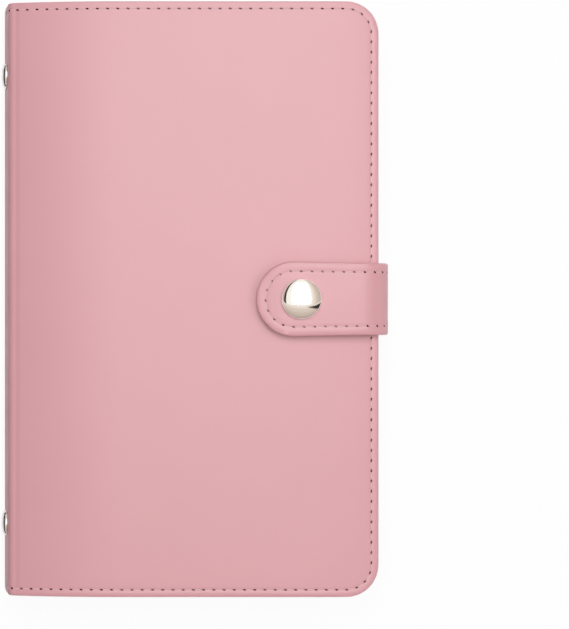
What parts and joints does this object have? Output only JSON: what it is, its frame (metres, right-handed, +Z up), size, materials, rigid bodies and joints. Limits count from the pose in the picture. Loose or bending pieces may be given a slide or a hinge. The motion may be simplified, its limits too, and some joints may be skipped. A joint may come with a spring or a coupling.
{
  "type": "cash envelope wallet",
  "caption": "Pink snap-strap wallet with stiffened covers, a riveted spine and a block of clear film sleeves for banknotes, lying closed.",
  "frame": {"origin": "on the resting surface, under the middle of the closed wallet's overall box", "axes": "+X from the spine to the fore-edge with the strap, +Y along the spine towards the top edge, +Z up from the back cover to the front cover"},
  "size_m": [0.1224, 0.185, 0.0304],
  "materials": {
    "leather": "matte, fine grain, pink",
    "lining": "matte pink lining",
    "board": "plain grey-brown board",
    "film": "clear to frosted plastic film",
    "nickel": "polished nickel plate"
  },
  "bodies": {
    "front_cover": {"front_cover_leather": "leather", "front_cover_board": "board", "front_cover_lining": "lining", "snap_stud": "nickel", "snap_stud_ring": "nickel"},
    "back": {"back_and_spine_leather": "leather", "back_cover_board": "board", "back_and_spine_lining": "lining", "binding_strip": "leather", "sleeve_pages": "film", "rivet_cap_top": "nickel", "rivet_back_top": "nickel", "rivet_cap_bottom": "nickel", "rivet_back_bottom": "nickel", "strap_anchor_face": "leather", "strap_anchor_backing": "lining"},
    "strap_wrap": {"strap_wrap_face": "leather", "strap_wrap_backing": "lining"},
    "strap_tongue": {"strap_tongue_face": "leather", "strap_tongue_backing": "lining", "snap_cap": "nickel", "snap_socket": "nickel"}
  },
  "joints": [
    {"name": "front_cover_fold", "type": "hinge", "parent": "back", "child": "front_cover", "pos_m": [-0.05531, 0, 0.0209], "axis": [0, -1, 0], "range_deg": [0, 180]},
    {"name": "strap_bend_low", "type": "hinge", "parent": "back", "child": "strap_wrap", "pos_m": [0.05989, 0, 0.00132], "axis": [0, 1, 0], "range_deg": [0, 90]},
    {"name": "strap_bend_high", "type": "hinge", "parent": "strap_wrap", "child": "strap_tongue", "pos_m": [0.05886, 0, 0.02586], "axis": [0, 1, 0], "range_deg": [0, 90]}
  ],
  "couplings": [
    {"joint": "strap_bend_high", "follows": "strap_bend_low", "ratio": 1}
  ]
}
